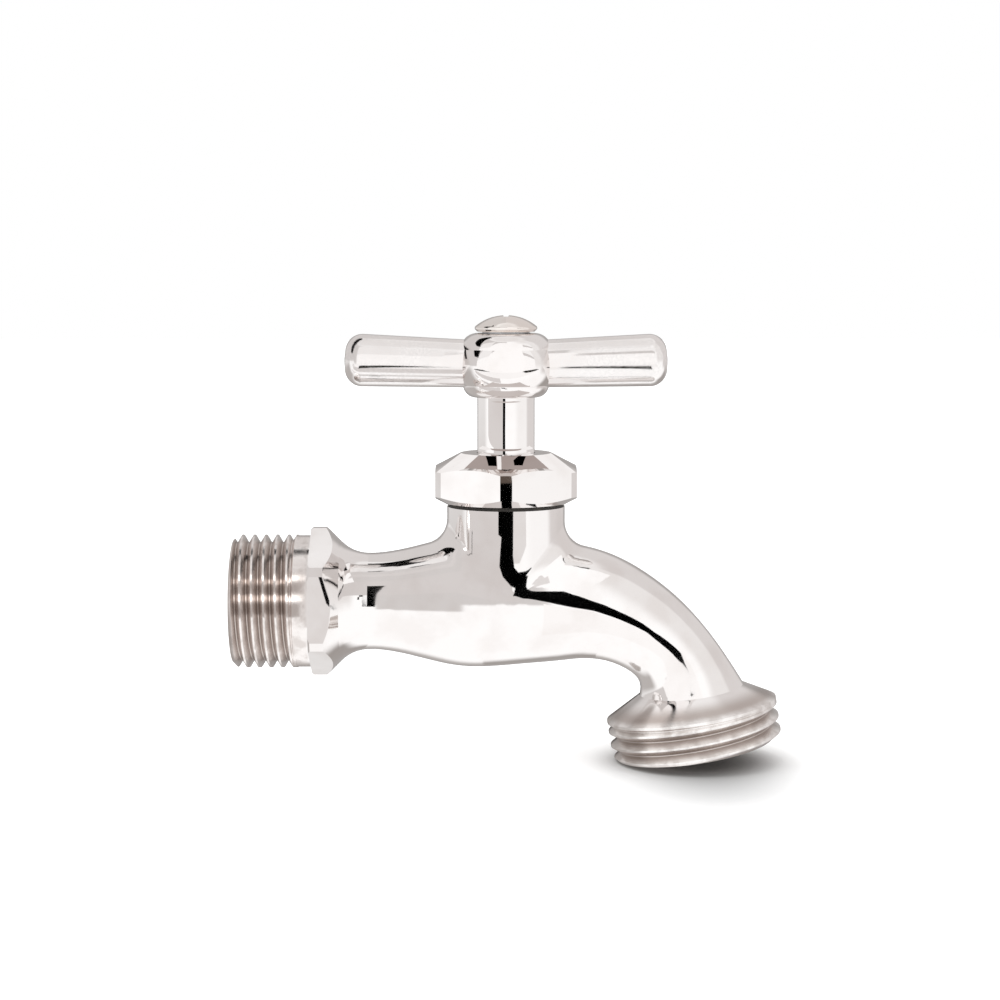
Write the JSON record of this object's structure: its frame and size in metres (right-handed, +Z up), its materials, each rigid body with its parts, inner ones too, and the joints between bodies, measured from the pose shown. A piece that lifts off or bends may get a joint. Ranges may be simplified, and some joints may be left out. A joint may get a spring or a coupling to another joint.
{
  "type": "hose bibb",
  "caption": "Garden tap with a T-handle, hexagon cap nut, pipe-threaded inlet and a bent spout that ends in a male hose thread; a rising spindle opens a rubber-faced valve.",
  "frame": {"origin": "centre of the inlet's end face, on the inlet axis", "axes": "+X along the inlet axis towards the spout, +Z up along the stem, XZ is the plane of symmetry"},
  "size_m": [0.0864, 0.027, 0.0704],
  "materials": {
    "body": "polished nickel-chrome plate, turned threads left duller",
    "seat_ring": "turned",
    "nut_gasket": "dark fibre-rubber sheet",
    "cap_nut": "polished nickel-chrome plate",
    "packing_washer": "turned",
    "stem_packing": "moulded black rubber",
    "gland_ring": "turned",
    "spindle": "polished plate on the stem, over turned brass",
    "jumper": "turned",
    "seat_washer": "black rubber",
    "jumper_nut": "turned",
    "handle": "polished nickel-chrome plate over a casting",
    "handle_screw": "polished nickel-chrome plate",
    "lock_washer": "plain spring steel"
  },
  "bodies": {
    "tap_body": {"body": "body", "seat_ring": "seat_ring", "nut_gasket": "nut_gasket", "cap_nut": "cap_nut", "packing_washer": "packing_washer", "stem_packing": "stem_packing", "gland_ring": "gland_ring"},
    "valve": {"jumper": "jumper", "seat_washer": "seat_washer", "jumper_nut": "jumper_nut"},
    "handle_and_spindle": {"spindle": "spindle", "handle": "handle", "handle_screw": "handle_screw", "lock_washer": "lock_washer"}
  },
  "joints": [
    {"name": "valve_lift", "type": "slide", "parent": "tap_body", "child": "valve", "axis": [0, 0, 1], "range_m": [0, 0.0045]},
    {"name": "handle_turn", "type": "hinge", "parent": "valve", "child": "handle_and_spindle", "pos_m": [0.0429, 0, 0], "axis": [0, 0, 1], "range_deg": [0, 720]}
  ],
  "couplings": [
    {"joint": "valve_lift", "follows": "handle_turn", "m_per_rad": 0.0003581}
  ]
}
